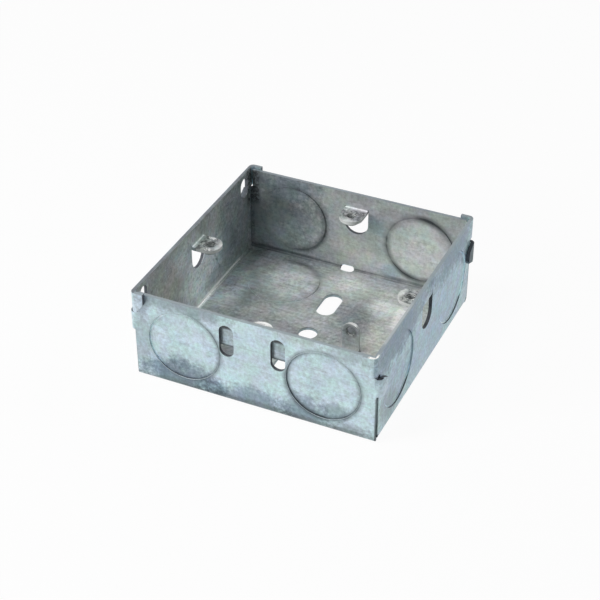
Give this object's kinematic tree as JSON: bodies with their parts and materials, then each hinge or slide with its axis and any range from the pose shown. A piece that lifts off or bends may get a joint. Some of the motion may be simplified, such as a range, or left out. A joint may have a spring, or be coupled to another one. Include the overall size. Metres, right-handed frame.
{
  "type": "metal back box",
  "caption": "Shallow square steel back box, open at the front, with knock-outs in its walls and tapped lugs that hold a switch or socket plate.",
  "frame": {"origin": "centre of the base's outer face, which lies against the wall in use", "axes": "+Z out of the open mouth, square to the base; +X along the wall with the two upright slots, towards the side of the earth tab; +Y from that wall to the opposite one"},
  "size_m": [0.0724, 0.0724, 0.028],
  "materials": {
    "galvanised_steel": "dull galvanised coat, soft sheen"
  },
  "bodies": {
    "root": {"back_box": "galvanised_steel"}
  },
  "joints": []
}
